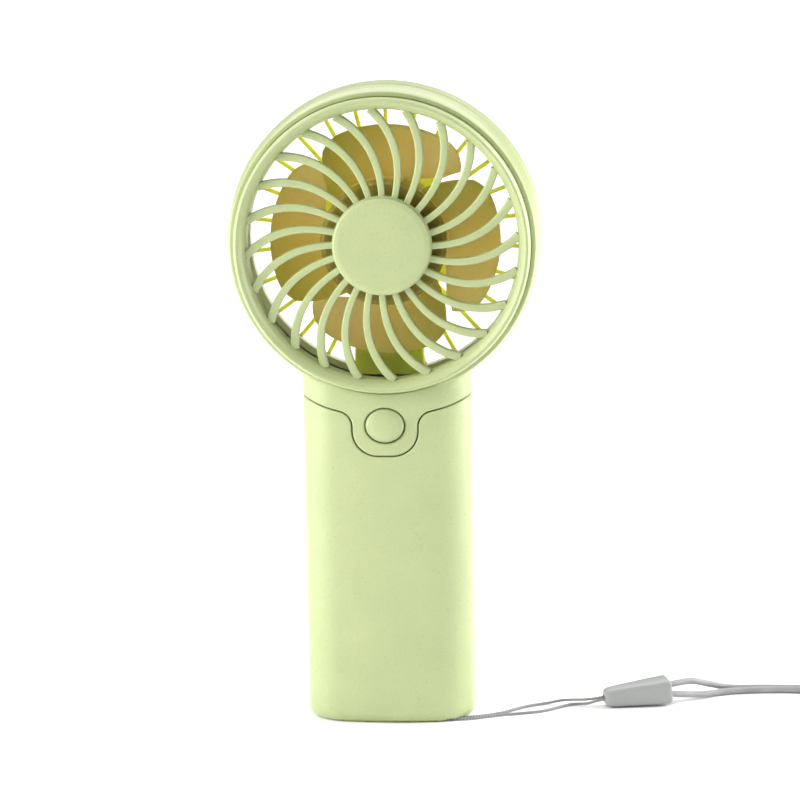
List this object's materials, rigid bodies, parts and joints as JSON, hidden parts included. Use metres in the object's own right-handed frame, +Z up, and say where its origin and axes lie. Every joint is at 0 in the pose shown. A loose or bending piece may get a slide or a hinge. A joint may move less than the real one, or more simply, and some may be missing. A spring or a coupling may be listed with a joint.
{
  "type": "handheld electric fan",
  "caption": "Handheld electric fan with a round caged head, a pitched-blade impeller, a push button on a slab handle and a wrist strap.",
  "frame": {"origin": "middle of the flat base that the fan stands on", "axes": "+Z up along the handle, -Y towards the front grille, +X to the right seen from the front"},
  "size_m": [0.2288, 0.0582, 0.19],
  "materials": {
    "green_plastic": "satin pale green moulded plastic",
    "thin_green_plastic": "thin satin yellow-green moulded plastic",
    "impeller_plastic": "satin tan moulded plastic",
    "steel": "plated steel",
    "magnet": "dark ferrite magnet",
    "copper_winding": "copper windings on a laminated core",
    "white_plastic": "plain white plastic",
    "brass": "sintered bronze",
    "cell_wrap": "battery cell in a plastic sleeve",
    "board": "green circuit board",
    "black_plastic": "black switch housing",
    "led_lens": "milky indicator lens",
    "red_insulation": "red wire insulation",
    "black_insulation": "black wire insulation",
    "silver_cord": "silver-grey braided cord",
    "grey_plastic": "satin grey moulded plastic"
  },
  "bodies": {
    "root": {"front_grille": "green_plastic", "grille_cap": "green_plastic", "front_shell": "green_plastic", "rear_shell": "green_plastic", "handle_sleeve": "green_plastic", "rear_grille": "thin_green_plastic", "rear_hub_cap": "thin_green_plastic", "wire_cover": "thin_green_plastic", "motor_can": "steel", "motor_screw_1": "steel", "motor_screw_2": "steel", "case_screw_1": "steel", "case_screw_2": "steel", "usb_port": "steel", "motor_magnet": "magnet", "motor_end_bell": "white_plastic", "battery_tray": "white_plastic", "motor_bearing_front": "brass", "motor_bearing_rear": "brass", "battery_cell_1": "cell_wrap", "battery_cell_2": "cell_wrap", "control_board": "board", "push_switch": "black_plastic", "charge_led": "led_lens", "motor_wire_red": "red_insulation", "battery_lead_red": "red_insulation", "motor_wire_black": "black_insulation", "battery_lead_black": "black_insulation", "strap_thin_cord": "silver_cord", "wrist_cord": "silver_cord", "strap_bead": "grey_plastic"},
    "rotor": {"impeller": "impeller_plastic", "motor_shaft": "steel", "motor_armature": "copper_winding"},
    "button": {"power_button": "green_plastic"},
    "plunger": {"switch_plunger": "white_plastic"}
  },
  "joints": [
    {"name": "impeller_spin", "type": "hinge", "parent": "root", "child": "rotor", "pos_m": [0, 0, 0.144], "axis": [0, 1, 0], "continuous": true},
    {"name": "button_press", "type": "slide", "parent": "root", "child": "button", "axis": [0, 1, 0], "range_m": [0, 0.0006], "stiffness_N_per_m": 200},
    {"name": "plunger_press", "type": "slide", "parent": "root", "child": "plunger", "axis": [0, 1, 0], "range_m": [0, 0.0006], "stiffness_N_per_m": 2}
  ],
  "couplings": [
    {"joint": "plunger_press", "follows": "button_press", "ratio": 1}
  ]
}
